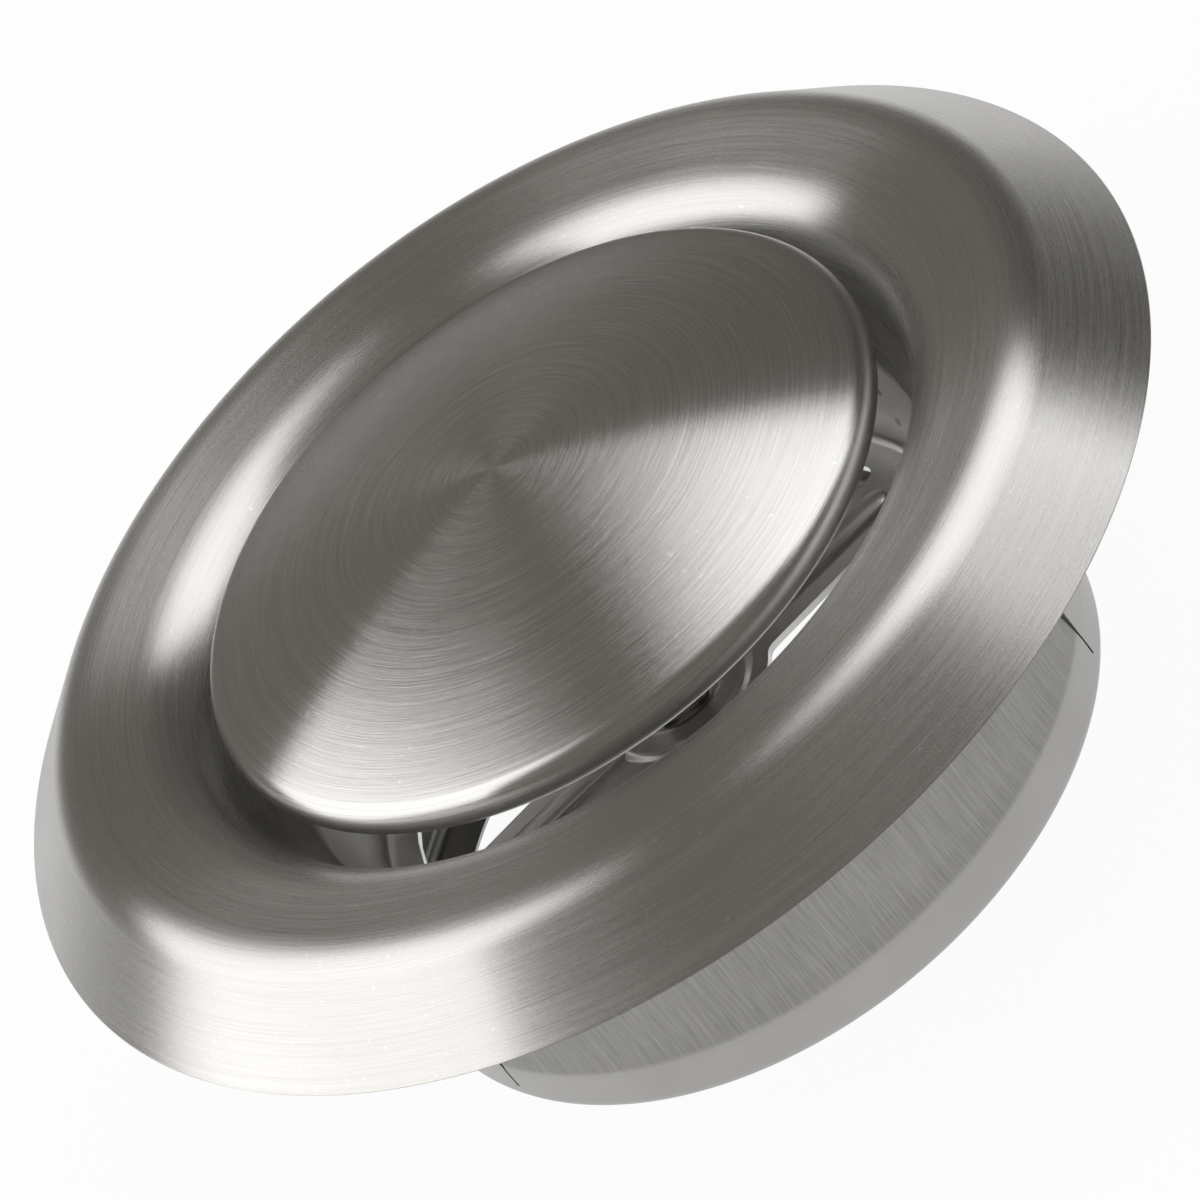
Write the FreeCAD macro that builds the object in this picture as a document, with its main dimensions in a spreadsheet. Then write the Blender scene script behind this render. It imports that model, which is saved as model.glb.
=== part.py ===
import FreeCAD, Part
import math
import os
import Sketcher
from FreeCAD import Placement, Rotation, Vector

# Round disc valve for the end of a 125 mm air duct, in brushed stainless steel.
# +Z points along the duct's axis out into the room, and z = 0 is the ceiling's face.
# +X runs along the crossbar. A spun ring covers the hole and narrows to a neck, which holds
# a pressed cup with a crossbar in its floor. A slit sleeve round both grips the duct, and
# a domed disc on a threaded stem screws in and out of the crossbar.

os.makedirs("parts", exist_ok=True)
doc = FreeCAD.newDocument("disc_valve")
sheet = doc.addObject("Spreadsheet::Sheet", "Sizes")


class Size:
    """A number together with the expression that gives it in the document."""

    def __init__(self, value, text):
        self.value = value
        self.text = text

    def __add__(self, other):
        other = as_size(other)
        return Size(self.value + other.value, "(%s + %s)" % (self.text, other.text))

    def __sub__(self, other):
        other = as_size(other)
        return Size(self.value - other.value, "(%s - %s)" % (self.text, other.text))

    def __mul__(self, other):
        other = as_size(other)
        return Size(self.value * other.value, "(%s * %s)" % (self.text, other.text))

    def __truediv__(self, other):
        other = as_size(other)
        return Size(self.value / other.value, "(%s / %s)" % (self.text, other.text))

    def __neg__(self):
        return Size(-self.value, "(0 - %s)" % self.text)


def as_size(number):
    return number if isinstance(number, Size) else Size(float(number), repr(float(number)))


def root(size):
    return Size(math.sqrt(size.value), "sqrt(%s)" % size.text)


def dimension(name, value, meaning):
    """Write one driving size to the sheet and return it."""
    row = len(dimension_names) + 1
    dimension_names.append(name)
    sheet.set("A%d" % row, meaning)
    sheet.set("B%d" % row, str(value))
    sheet.setAlias("B%d" % row, name)
    return Size(float(value), "Sizes.%s" % name)


dimension_names = []

# Ring
wall_spread = dimension("wall_spread", 14.5, "from the crest's corner out to the ring's edge")
top_width = dimension("top_width", 20.0, "from the mouth's corner out to the crest's corner")
crest_corner_height = dimension("crest_corner_height", 14.3, "height of that corner above the ceiling")
crest_fillet = dimension("crest_fillet", 9.0, "rounding of the crest")
funnel_spread = dimension("funnel_spread", 8.2, "from the neck out to the mouth's corner")
mouth_corner_height = dimension("mouth_corner_height", 11.37, "height of that corner above the ceiling")
bell_fillet = dimension("bell_fillet", 12.5, "rounding of the bell mouth")
neck_gap = dimension("neck_gap", 6.2, "from the sleeve's outside in to the inside of the neck")
neck_depth = dimension("neck_depth", 10.0, "where the funnel turns into the neck")
neck_end_depth = dimension("neck_end_depth", 13.0, "lower edge of the neck")
neck_bend = dimension("neck_bend", 2.0, "bend between the funnel and the neck")
ring_sheet = dimension("ring_sheet", 0.8, "sheet of the ring")

# Sleeve in the duct
sleeve_radius = dimension("sleeve_radius", 62.0, "outside of the plain band at the sleeve's inner end")
sleeve_sheet = dimension("sleeve_sheet", 0.6, "sheet of the sleeve")
sleeve_set_in = dimension("sleeve_set_in", 0.55, "how far the wall is set in behind the band and the tongues")
sleeve_flare = dimension("sleeve_flare", 1.9, "height of the flare that seats on the funnel")
sleeve_bend = dimension("sleeve_bend", 1.0, "small bends of the sleeve's wall")
sleeve_end_depth = dimension("sleeve_end_depth", 54.4, "inner end of the sleeve below the ceiling")
end_bend = dimension("end_bend", 2.4, "inside bend at the sleeve's inner end")
end_flange_width = dimension("end_flange_width", 9.0, "width of the flange at that end")
band_height = dimension("band_height", 8.2, "from the sleeve's inner end to the step above the plain band")
band_jog = dimension("band_jog", 2.0, "height of that sloped step")
tongue_top_depth = dimension("tongue_top_depth", 15.5, "upper end of the two tongues below the ceiling")
tongue_jog = dimension("tongue_jog", 2.0, "height of the slope at the tongues' upper ends")
tongue_angle = dimension("tongue_angle", 56.5, "angle of each tongue")
tongue_set_in = dimension("tongue_set_in", 0.05, "how far the tongues sit inside the band")
slit_width = dimension("slit_width", 0.5, "width of the slits beside the tongues")
slit_end_height = dimension("slit_end_height", 4.4, "from the sleeve's inner end to the slits")
sleeve_turn = dimension("sleeve_turn", -11.75, "turn of the tongues from the crossbar")

# Cup with the crossbar
bar_sheet = dimension("bar_sheet", 1.2, "sheet of the cup and its crossbar")
hub_depth = dimension("hub_depth", 30.8, "top of the crossbar and the cup's floor below the ceiling")
cup_top_gap = dimension("cup_top_gap", 0.6, "from the neck's bend down to the cup's upper edge")
cup_collar_run = dimension("cup_collar_run", 0.2, "from the neck's edge down to the taper")
cup_collar_bend = dimension("cup_collar_bend", 3.0, "bend at the start of the taper")
cup_taper = dimension("cup_taper", 3.7, "how far the cup's wall draws in")
cup_bend = dimension("cup_bend", 2.0, "inside bend at the cup's floor")
floor_ring_width = dimension("floor_ring_width", 5.3, "from the cup's wall in to the two windows")
hub_radius = dimension("hub_radius", 16.0, "round hub of the crossbar")
arm_root_half = dimension("arm_root_half", 7.2, "half width of the crossbar at the hub")
arm_end_half = dimension("arm_end_half", 6.1, "half width of the crossbar near the cup's wall")
arm_end_inset = dimension("arm_end_inset", 5.6, "from the windows' round edge in to the narrowest place")
arm_corner = dimension("arm_corner", 2.2, "size of the windows' cut corners")
boss_rim = dimension("boss_rim", 2.7, "flat rim of the hub round the boss")
boss_step = dimension("boss_step", 1.1, "width of the boss's sloped side")
boss_height = dimension("boss_height", 1.0, "height of the boss and of the crossbar's rib")
rib_end_inset = dimension("rib_end_inset", 2.6, "from the windows' round edge in to the rib's ends")
rib_half = dimension("rib_half", 2.3, "half width of the rib")
rib_wall = dimension("rib_wall", 1.0, "sheet on each side of the rib's hollow")
seat_groove_gap = dimension("seat_groove_gap", 0.2, "from the nut's corners out to the groove")
seat_groove_width = dimension("seat_groove_width", 1.0, "width of the groove round the nut")
seat_groove_depth = dimension("seat_groove_depth", 0.6, "depth of that groove")

# Disc
disc_overlap = dimension("disc_overlap", 2.3, "how far the disc reaches past the neck")
dome_apex_height = dimension("dome_apex_height", 23.3, "top of the dome above the ceiling")
dome_radius = dimension("dome_radius", 168.0, "radius of the dome's curve")
disc_edge_radius = dimension("disc_edge_radius", 3.5, "rounding of the disc's edge")
disc_wall = dimension("disc_wall", 0.67, "upright part of the disc's edge")
disc_lip_bend = dimension("disc_lip_bend", 1.8, "bend of the return lip")
lip_width = dimension("lip_width", 4.7, "from the disc's edge in to the end of the lip")
disc_sheet = dimension("disc_sheet", 0.8, "sheet of the front dome and the back pan")
pan_seat_width = dimension("pan_seat_width", 3.2, "flat rim of the pan that rests on the lip")
pan_clearance = dimension("pan_clearance", 0.2, "gap between the pan's edge and the lip's bend")
pan_depth = dimension("pan_depth", 6.6, "from the pan's flat rim down to its floor")
pan_floor_radius = dimension("pan_floor_radius", 12.0, "flat floor of the pan")
pan_bend = dimension("pan_bend", 3.0, "bends of the pan")

# Screw, nuts and washer
stem_radius = dimension("stem_radius", 3.95, "M8 stem")
stem_end_depth = dimension("stem_end_depth", 50.0, "free end of the stem")
stem_chamfer = dimension("stem_chamfer", 0.8, "chamfer at the free end")
stem_head_radius = dimension("stem_head_radius", 9.0, "flat head inside the disc")
stem_head_height = dimension("stem_head_height", 2.0, "thickness of the flat head")
nut_bore_radius = dimension("nut_bore_radius", 4.0, "bore of the M8 nuts")
hole_clearance = dimension("hole_clearance", 0.35, "plain holes round the stem")
nut_flats = dimension("nut_flats", 13.0, "M8 nut across its flats")
nut_height = dimension("nut_height", 6.5, "M8 nut")
nut_turn = dimension("nut_turn", -15.7, "turn of the nut on the crossbar")
washer_radius = dimension("washer_radius", 8.0, "plain washer")
washer_height = dimension("washer_height", 1.6, "plain washer")
face_gap = dimension("face_gap", 0.05, "gap between the washer and the crossbar")

# Gasket
gasket_width = dimension("gasket_width", 4.6, "width of the foam ring")
gasket_edge_gap = dimension("gasket_edge_gap", 1.9, "from the ring's edge in to the foam")
gasket_gap = dimension("gasket_gap", 0.05, "glue line under the ring's wall")

sleeve_inner_radius = sleeve_radius - sleeve_set_in - sleeve_sheet
neck_radius = sleeve_radius - neck_gap
neck_outer_radius = neck_radius + ring_sheet
mouth_corner_radius = neck_radius + funnel_spread
crest_corner_radius = mouth_corner_radius + top_width
rim_radius = crest_corner_radius + wall_spread
gasket_outer_radius = rim_radius - gasket_edge_gap
gasket_inner_radius = gasket_outer_radius - gasket_width
end_flange_radius = sleeve_radius - end_flange_width
slit_end_depth = sleeve_end_depth - slit_end_height
band_top_depth = sleeve_end_depth - band_height
cup_top_depth = neck_depth + cup_top_gap
cup_collar_depth = neck_end_depth + cup_collar_run
cup_foot_radius = neck_outer_radius - cup_taper
window_radius = cup_foot_radius - floor_ring_width
arm_end_reach = window_radius - arm_end_inset
rib_reach = window_radius - rib_end_inset
boss_foot_radius = hub_radius - boss_rim
boss_top_radius = boss_foot_radius - boss_step
nut_corner_radius = nut_flats / math.sqrt(3.0)
disc_radius = neck_radius + disc_overlap
disc_lip_radius = disc_radius - lip_width
edge_centre_radius = disc_radius - disc_edge_radius
edge_reach = dome_radius - disc_edge_radius
edge_centre_height = dome_apex_height - dome_radius + root(
    edge_reach * edge_reach - edge_centre_radius * edge_centre_radius)
disc_lip_height = edge_centre_height - disc_wall - disc_lip_bend
pan_seat_height = disc_lip_height + disc_sheet * 2.0
pan_floor_height = pan_seat_height - pan_depth
floor_bottom_depth = hub_depth + bar_sheet
hub_underside_depth = floor_bottom_depth - boss_height
funnel_slope = (mouth_corner_height + neck_depth) / (mouth_corner_radius - neck_radius)
funnel_wall = ring_sheet * root(as_size(1.0) + as_size(1.0) / (funnel_slope * funnel_slope))
sleeve_seat_height = mouth_corner_height - (mouth_corner_radius + funnel_wall - sleeve_inner_radius) * funnel_slope


def new_body(name):
    body = doc.addObject("PartDesign::Body", name)
    body.Label = name
    return body


def new_sketch(body, name, plane, turn=None):
    """A sketch on one of the body's own planes, turned about Z if a turn is given."""
    planes = {feature.Role: feature for feature in body.Origin.OriginFeatures}
    sketch = body.newObject("Sketcher::SketchObject", name)
    sketch.AttachmentSupport = [(planes[plane], "")]
    sketch.MapMode = "FlatFace"
    if turn is not None:
        sketch.AttachmentOffset = Placement(Vector(0, 0, 0), Rotation(Vector(0, 1, 0), turn.value))
        sketch.setExpression("AttachmentOffset.Rotation.Angle", turn.text)
    return sketch


def bind(sketch, constraint, size):
    """Add a constraint and tie its value to the sheet."""
    index = sketch.addConstraint(constraint)
    name = "size_%d" % index
    sketch.renameConstraint(index, name)
    sketch.setExpression("Constraints." + name, size.text)


def pin_point(sketch, geometry, position, point):
    """Hold a vertex at its two distances from the origin."""
    x, y = as_size(point[0]), as_size(point[1])
    if x.value == 0.0:
        sketch.addConstraint(Sketcher.Constraint("PointOnObject", geometry, position, -2))
    else:
        bind(sketch, Sketcher.Constraint("DistanceX", -1, 1, geometry, position, x.value), x)
    if y.value == 0.0:
        sketch.addConstraint(Sketcher.Constraint("PointOnObject", geometry, position, -1))
    else:
        bind(sketch, Sketcher.Constraint("DistanceY", -1, 1, geometry, position, y.value), y)


def draw_polygon(sketch, points):
    """A closed outline of straight lines through points that are each held in place."""
    count = len(points)
    flat = [Vector(as_size(x).value, as_size(y).value, 0) for x, y in points]
    lines = [Part.LineSegment(flat[i], flat[(i + 1) % count]) for i in range(count)]
    sketch.addGeometry(lines, False)
    for i in range(count):
        sketch.addConstraint(Sketcher.Constraint("Coincident", i, 2, (i + 1) % count, 1))
        pin_point(sketch, i, 1, points[i])


def draw_circle(sketch, radius):
    """A circle about the origin."""
    index = sketch.addGeometry(Part.Circle(Vector(0, 0, 0), Vector(0, 0, 1), radius.value), False)
    sketch.addConstraint(Sketcher.Constraint("Coincident", index, 3, -1, 1))
    bind(sketch, Sketcher.Constraint("Radius", index, radius.value), radius)
    return index


def unit(vector):
    return vector / vector.Length


def offset_corners(corners, distance):
    """Corners of the polyline that runs at a distance to the left of the given one."""
    normals = []
    for start, end in zip(corners, corners[1:]):
        along = unit(end - start)
        normals.append(Vector(-along.y, along.x, 0))
    moved = [corners[0] + normals[0] * distance]
    for before, after, corner in zip(normals, normals[1:], corners[1:]):
        bisector = unit(before + after)
        moved.append(corner + bisector * (distance / bisector.dot(before)))
    moved.append(corners[-1] + normals[-1] * distance)
    return moved


def fillet_chain(corners, radii):
    """Lines and tangent arcs along a polyline: (kind, start, end, centre, turns left)."""
    pieces = []
    start = corners[0]
    for index, radius in enumerate(radii, start=1):
        corner = corners[index]
        inward = unit(corners[index - 1] - corner)
        outward = unit(corners[index + 1] - corner)
        half = inward.getAngle(outward) / 2
        reach = radius / math.tan(half)
        centre = corner + unit(inward + outward) * (radius / math.sin(half))
        left = inward.cross(outward).z < 0
        pieces.append(("line", start, corner + inward * reach, None, left))
        pieces.append(("arc", corner + inward * reach, corner + outward * reach, centre, left))
        start = corner + outward * reach
    pieces.append(("line", start, corners[-1], None, True))
    return pieces


def add_chain(sketch, pieces):
    """Draw a chain and join it smoothly. Returns (geometry, start vertex, end vertex, kind)."""
    drawn = []
    for kind, start, end, centre, left in pieces:
        if kind == "line":
            index = sketch.addGeometry(Part.LineSegment(start, end), False)
            drawn.append((index, 1, 2, kind))
            continue
        circle = Part.Circle(centre, Vector(0, 0, 1), (start - centre).Length)
        first, last = (start, end) if left else (end, start)
        arc = Part.ArcOfCircle(circle, circle.parameter(first), circle.parameter(last))
        index = sketch.addGeometry(arc, False)
        drawn.append((index, 1, 2, kind) if left else (index, 2, 1, kind))
    for before, after in zip(drawn, drawn[1:]):
        sketch.addConstraint(Sketcher.Constraint("Tangent", before[0], before[2], after[0], after[1]))
    return drawn


def draw_bent_sheet(sketch, corners, radii, thickness, side, caps=("square", "square")):
    """Section of a bent sheet: the seen face runs along the corners, rounded by the radii.

    side is +1 for a sheet to the left of the seen face and -1 for one to its right.
    A cap is square to the sheet, or flat along the sketch's first axis.
    """
    flat = [Vector(as_size(x).value, as_size(y).value, 0) for x, y in corners]
    face_radii = [radius.value for radius in radii]
    face = add_chain(sketch, fillet_chain(flat, face_radii))
    back_corners = offset_corners(flat, side * thickness.value)
    back_radii = []
    for index, radius in enumerate(radii, start=1):
        turn = (flat[index] - flat[index - 1]).cross(flat[index + 1] - flat[index]).z
        inside = (turn > 0) == (side > 0)
        back_radii.append(radius - thickness if inside else radius + thickness)
    back = add_chain(sketch, fillet_chain(back_corners, [radius.value for radius in back_radii]))

    for piece, corner in zip(face[0::2], corners):
        point = sketch.addGeometry(Part.Point(Vector(as_size(corner[0]).value, as_size(corner[1]).value, 0)), True)
        pin_point(sketch, point, 1, corner)
        if piece is face[0]:
            sketch.addConstraint(Sketcher.Constraint("Coincident", point, 1, piece[0], piece[1]))
        else:
            sketch.addConstraint(Sketcher.Constraint("PointOnObject", point, 1, previous[0]))
            sketch.addConstraint(Sketcher.Constraint("PointOnObject", point, 1, piece[0]))
        previous = piece
    pin_point(sketch, face[-1][0], face[-1][2], corners[-1])

    for face_arc, back_arc, radius, back_radius in zip(face[1::2], back[1::2], radii, back_radii):
        bind(sketch, Sketcher.Constraint("Radius", face_arc[0], radius.value), radius)
        bind(sketch, Sketcher.Constraint("Radius", back_arc[0], back_radius.value), back_radius)
        sketch.addConstraint(Sketcher.Constraint("Coincident", face_arc[0], 3, back_arc[0], 3))

    ends = ((face[0], back[0], 1, caps[0]), (face[-1], back[-1], 2, caps[1]))
    for face_line, back_line, vertex, cap in ends:
        sketch.addConstraint(Sketcher.Constraint("Parallel", face_line[0], back_line[0]))
        corner = sketch.getPoint(face_line[0], vertex)
        other = sketch.getPoint(back_line[0], vertex)
        line = sketch.addGeometry(Part.LineSegment(corner, other), False)
        sketch.addConstraint(Sketcher.Constraint("Coincident", line, 1, face_line[0], vertex))
        sketch.addConstraint(Sketcher.Constraint("Coincident", line, 2, back_line[0], vertex))
        if cap == "square":
            sketch.addConstraint(Sketcher.Constraint("Perpendicular", line, face_line[0]))
        else:
            sketch.addConstraint(Sketcher.Constraint("Horizontal", line))


def draw_slot(sketch, reach, half):
    """A slot along the sketch's first axis, with round ends, centred on the origin."""
    middle = reach - half
    right, up = middle.value, half.value
    far = sketch.addGeometry(Part.LineSegment(Vector(right, up, 0), Vector(-right, up, 0)), False)
    near = sketch.addGeometry(Part.LineSegment(Vector(-right, -up, 0), Vector(right, -up, 0)), False)
    left_circle = Part.Circle(Vector(-right, 0, 0), Vector(0, 0, 1), up)
    left = sketch.addGeometry(Part.ArcOfCircle(left_circle, math.pi / 2, 3 * math.pi / 2), False)
    right_circle = Part.Circle(Vector(right, 0, 0), Vector(0, 0, 1), up)
    end = sketch.addGeometry(Part.ArcOfCircle(right_circle, -math.pi / 2, math.pi / 2), False)
    for first, vertex, second, other in ((far, 2, left, 1), (left, 2, near, 1), (near, 2, end, 1), (end, 2, far, 1)):
        sketch.addConstraint(Sketcher.Constraint("Tangent", first, vertex, second, other))
    bind(sketch, Sketcher.Constraint("Radius", end, half.value), half)
    pin_point(sketch, end, 3, (middle, 0.0))
    pin_point(sketch, left, 3, (-middle, 0.0))
    sketch.addConstraint(Sketcher.Constraint("Horizontal", far))


def revolve(body, sketch, name, angle=None):
    """Turn a sketch round Z, all the way or symmetrically through an angle."""
    feature = body.newObject("PartDesign::Revolution", name)
    feature.Profile = sketch
    feature.ReferenceAxis = (sketch, ["V_Axis"])
    feature.Angle = 360.0
    if angle is not None:
        feature.Midplane = True
        feature.Angle = angle.value
        feature.setExpression("Angle", angle.text)
    return feature


def groove(body, sketch, name, angle=None):
    """Cut a turned sketch out of the body."""
    feature = body.newObject("PartDesign::Groove", name)
    feature.Profile = sketch
    feature.ReferenceAxis = (sketch, ["V_Axis"])
    feature.Angle = 360.0
    if angle is not None:
        feature.Midplane = True
        feature.Angle = angle.value
        feature.setExpression("Angle", angle.text)
    return feature


def pad(body, sketch, name, length, reverse=False):
    feature = body.newObject("PartDesign::Pad", name)
    feature.Profile = sketch
    feature.Length = length.value
    feature.setExpression("Length", length.text)
    feature.Reversed = reverse
    return feature


def raise_sketch(sketch, height):
    """Move a horizontal sketch to a height."""
    sketch.AttachmentOffset = Placement(Vector(0, 0, height.value), Rotation())
    sketch.setExpression("AttachmentOffset.Base.z", height.text)


def turn_body(body, angle):
    """Turn a finished body about Z."""
    body.Placement = Placement(Vector(0, 0, 0), Rotation(Vector(0, 0, 1), angle.value))
    body.setExpression("Placement.Rotation.Angle", angle.text)


def cut_through(body, sketch, name):
    """Cut a sketch through the whole body, on both sides of its plane."""
    feature = body.newObject("PartDesign::Pocket", name)
    feature.Profile = sketch
    feature.Type = "ThroughAll"
    feature.Midplane = True
    return feature


def make_valve_ring():
    """Spun ring: sloped wall, round crest, bell mouth, funnel and neck in one piece of sheet."""
    body = new_body("valve_ring")
    sketch = new_sketch(body, "ring_section", "XZ_Plane")
    corners = [(rim_radius, 0.0), (crest_corner_radius, crest_corner_height),
               (mouth_corner_radius, mouth_corner_height), (neck_radius, -neck_depth),
               (neck_radius, -neck_end_depth)]
    bends = [crest_fillet, bell_fillet, neck_bend]
    draw_bent_sheet(sketch, corners, bends, ring_sheet, +1, ("flat", "square"))
    revolve(body, sketch, "spun_ring")
    return body


def make_foam_gasket():
    """Soft ring glued under the ring's wall, flush with the ceiling's face."""
    rise = crest_corner_height / (rim_radius - crest_corner_radius)
    drop = ring_sheet * root(rise * rise + 1.0) + gasket_gap

    def wall_underside(radius):
        return (rim_radius - radius) * rise - drop

    body = new_body("foam_gasket")
    sketch = new_sketch(body, "gasket_section", "XZ_Plane")
    draw_polygon(sketch, [(gasket_inner_radius, 0.0), (gasket_outer_radius, 0.0),
                          (gasket_outer_radius, wall_underside(gasket_outer_radius)),
                          (gasket_inner_radius, wall_underside(gasket_inner_radius))])
    revolve(body, sketch, "foam_ring")
    return body


def make_duct_sleeve():
    """Rolled sleeve: a flare on the funnel, a set-in wall, two slit tongues, plain band and end flange."""
    body = new_body("duct_sleeve")
    tube = new_sketch(body, "tube_section", "XZ_Plane")
    flare_top = sleeve_seat_height + sleeve_flare
    band_inner_radius = sleeve_radius - sleeve_sheet
    floor = -sleeve_end_depth + sleeve_sheet
    corners = [(sleeve_inner_radius + sleeve_flare / funnel_slope, flare_top),
               (sleeve_inner_radius, sleeve_seat_height),
               (sleeve_inner_radius, -band_top_depth + band_jog), (band_inner_radius, -band_top_depth),
               (band_inner_radius, floor), (end_flange_radius, floor)]
    bends = [sleeve_bend, sleeve_bend, sleeve_bend, end_bend]
    draw_bent_sheet(tube, corners, bends, sleeve_sheet, +1)
    revolve(body, tube, "tube")

    wall_outer_radius = sleeve_inner_radius + sleeve_sheet
    tongue_radius = sleeve_radius - tongue_set_in
    low = -band_top_depth - sleeve_bend
    high = -tongue_top_depth
    for number, side in enumerate((0.0, 180.0), start=1):
        window = new_sketch(body, "window_section_%d" % number, "XZ_Plane", as_size(side))
        draw_polygon(window, [(sleeve_inner_radius - 1.0, low), (sleeve_radius + 1.0, low),
                              (sleeve_radius + 1.0, high), (sleeve_inner_radius - 1.0, high)])
        groove(body, window, "window_%d" % number, tongue_angle)
        tongue = new_sketch(body, "tongue_section_%d" % number, "XZ_Plane", as_size(side))
        draw_polygon(tongue, [(band_inner_radius, low), (tongue_radius, low), (tongue_radius, high - tongue_jog),
                              (wall_outer_radius, high), (sleeve_inner_radius, high),
                              (band_inner_radius, high - tongue_jog)])
        revolve(body, tongue, "tongue_%d" % number, tongue_angle)

    half = tongue_angle / 2.0
    slit_angles = [half, -half, as_size(180.0) + half, as_size(180.0) - half]
    for number, angle in enumerate(slit_angles, start=1):
        slit = new_sketch(body, "slit_outline_%d" % number, "YZ_Plane", angle)
        edge = slit_width / 2.0
        draw_polygon(slit, [(-edge, -slit_end_depth), (edge, -slit_end_depth), (edge, high), (-edge, high)])
        feature = body.newObject("PartDesign::Pocket", "slit_%d" % number)
        feature.Profile = slit
        feature.Reversed = True
        feature.Length = sleeve_radius.value + 1.0
        feature.setExpression("Length", (sleeve_radius + 1.0).text)
    turn_body(body, sleeve_turn)
    return body


def make_crossbar_cup():
    """Pressed cup round the neck, with two windows in its floor that leave a ribbed crossbar."""
    body = new_body("crossbar_cup")
    wall = new_sketch(body, "cup_section", "XZ_Plane")
    corners = [(neck_outer_radius, -cup_top_depth), (neck_outer_radius, -cup_collar_depth),
               (cup_foot_radius, -hub_depth), (window_radius, -hub_depth)]
    draw_bent_sheet(wall, corners, [cup_collar_bend, cup_bend], bar_sheet, +1)
    revolve(body, wall, "cup_wall")

    top = -hub_depth
    bottom = -floor_bottom_depth
    bar = new_sketch(body, "bar_outline", "XY_Plane")
    root_reach = hub_radius - arm_corner
    overlap = window_radius + 1.0
    flank = [(root_reach, arm_root_half + arm_corner), (hub_radius + arm_corner, arm_root_half),
             (arm_end_reach, arm_end_half), (window_radius - arm_corner, arm_end_half),
             (window_radius, arm_end_half + arm_corner), (overlap, arm_end_half + arm_corner)]
    far_side = flank + [(overlap, -arm_end_half - arm_corner)] + [(x, -y) for x, y in flank[-2::-1]]
    near_side = [(-x, y) for x, y in far_side[::-1]]
    draw_polygon(bar, far_side + near_side[:-1] + [near_side[-1]])
    raise_sketch(bar, top)
    pad(body, bar, "bar", bar_sheet, reverse=True)

    hub = new_sketch(body, "hub_section", "XZ_Plane")
    boss_top = top + boss_height
    draw_polygon(hub, [(0.0, bottom), (hub_radius, bottom), (hub_radius, top), (boss_foot_radius, top),
                       (boss_top_radius, boss_top), (0.0, boss_top)])
    revolve(body, hub, "hub_and_boss")
    rib = new_sketch(body, "rib_outline", "XY_Plane")
    draw_slot(rib, rib_reach, rib_half)
    raise_sketch(rib, top)
    pad(body, rib, "rib", boss_height)

    underside = -hub_underside_depth
    hollow = new_sketch(body, "boss_hollow_section", "XZ_Plane")
    draw_polygon(hollow, [(0.0, bottom - 1.0), (boss_top_radius, bottom - 1.0), (boss_top_radius, bottom),
                          (boss_top_radius - bar_sheet, underside), (0.0, underside)])
    groove(body, hollow, "boss_hollow")
    channel = new_sketch(body, "rib_hollow_outline", "XY_Plane")
    draw_slot(channel, rib_reach - rib_wall, rib_half - rib_wall)
    raise_sketch(channel, bottom)
    rib_hollow = body.newObject("PartDesign::Pocket", "rib_hollow")
    rib_hollow.Profile = channel
    rib_hollow.Reversed = True
    rib_hollow.Length = boss_height.value
    rib_hollow.setExpression("Length", boss_height.text)

    seat = new_sketch(body, "seat_groove_section", "XZ_Plane")
    inside = nut_corner_radius + seat_groove_gap
    outside = inside + seat_groove_width
    draw_polygon(seat, [(inside, boss_top - seat_groove_depth), (outside, boss_top - seat_groove_depth),
                        (outside, boss_top + 1.0), (inside, boss_top + 1.0)])
    groove(body, seat, "seat_groove")
    hole = new_sketch(body, "stem_hole", "XY_Plane")
    draw_circle(hole, nut_bore_radius + hole_clearance)
    cut_through(body, hole, "stem_clearance_hole")
    return body


def make_hex_nut(name, top, turn=None):
    """Plain M8 nut, its upper face at the given height, with turned corners."""
    body = new_body(name)
    outline = new_sketch(body, name + "_hexagon", "XY_Plane")
    corner = nut_corner_radius
    points = []
    for step in range(6):
        angle = math.radians(60 * step)
        points.append((corner * round(math.cos(angle), 12), corner * round(math.sin(angle), 12)))
    draw_polygon(outline, points)
    raise_sketch(outline, top)
    pad(body, outline, name + "_prism", nut_height, reverse=True)
    slope = (corner - nut_flats / 2.0) / 2.0
    for place, edge, inward in (("upper", top, -slope), ("lower", top - nut_height, slope)):
        corners = new_sketch(body, "%s_%s_corners" % (name, place), "XZ_Plane")
        draw_polygon(corners, [(nut_flats / 2.0, edge), (corner + 1.0, edge),
                               (corner + 1.0, edge + inward * ((corner - nut_flats / 2.0 + 1.0) / (corner - nut_flats / 2.0)))])
        groove(body, corners, "%s_%s_turned" % (name, place))
    bore = new_sketch(body, name + "_bore_outline", "XY_Plane")
    draw_circle(bore, nut_bore_radius)
    cut_through(body, bore, name + "_bore")
    if turn is not None:
        turn_body(body, turn)
    return body


def make_lock_washer():
    body = new_body("lock_washer")
    sketch = new_sketch(body, "washer_section", "XZ_Plane")
    top = -hub_underside_depth - face_gap
    inner = nut_bore_radius + hole_clearance
    draw_polygon(sketch, [(inner, top - washer_height), (washer_radius, top - washer_height),
                          (washer_radius, top), (inner, top)])
    revolve(body, sketch, "washer")
    return body


def make_stem():
    """M8 stem with a flat head inside the disc and a chamfered free end."""
    body = new_body("stem")
    sketch = new_sketch(body, "stem_section", "XZ_Plane")
    head_top = pan_floor_height + stem_head_height
    draw_polygon(sketch, [(0.0, -stem_end_depth), (stem_radius - stem_chamfer, -stem_end_depth),
                          (stem_radius, -stem_end_depth + stem_chamfer), (stem_radius, pan_floor_height),
                          (stem_head_radius, pan_floor_height), (stem_head_radius, head_top), (0.0, head_top)])
    revolve(body, sketch, "turned_stem")
    return body


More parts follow.
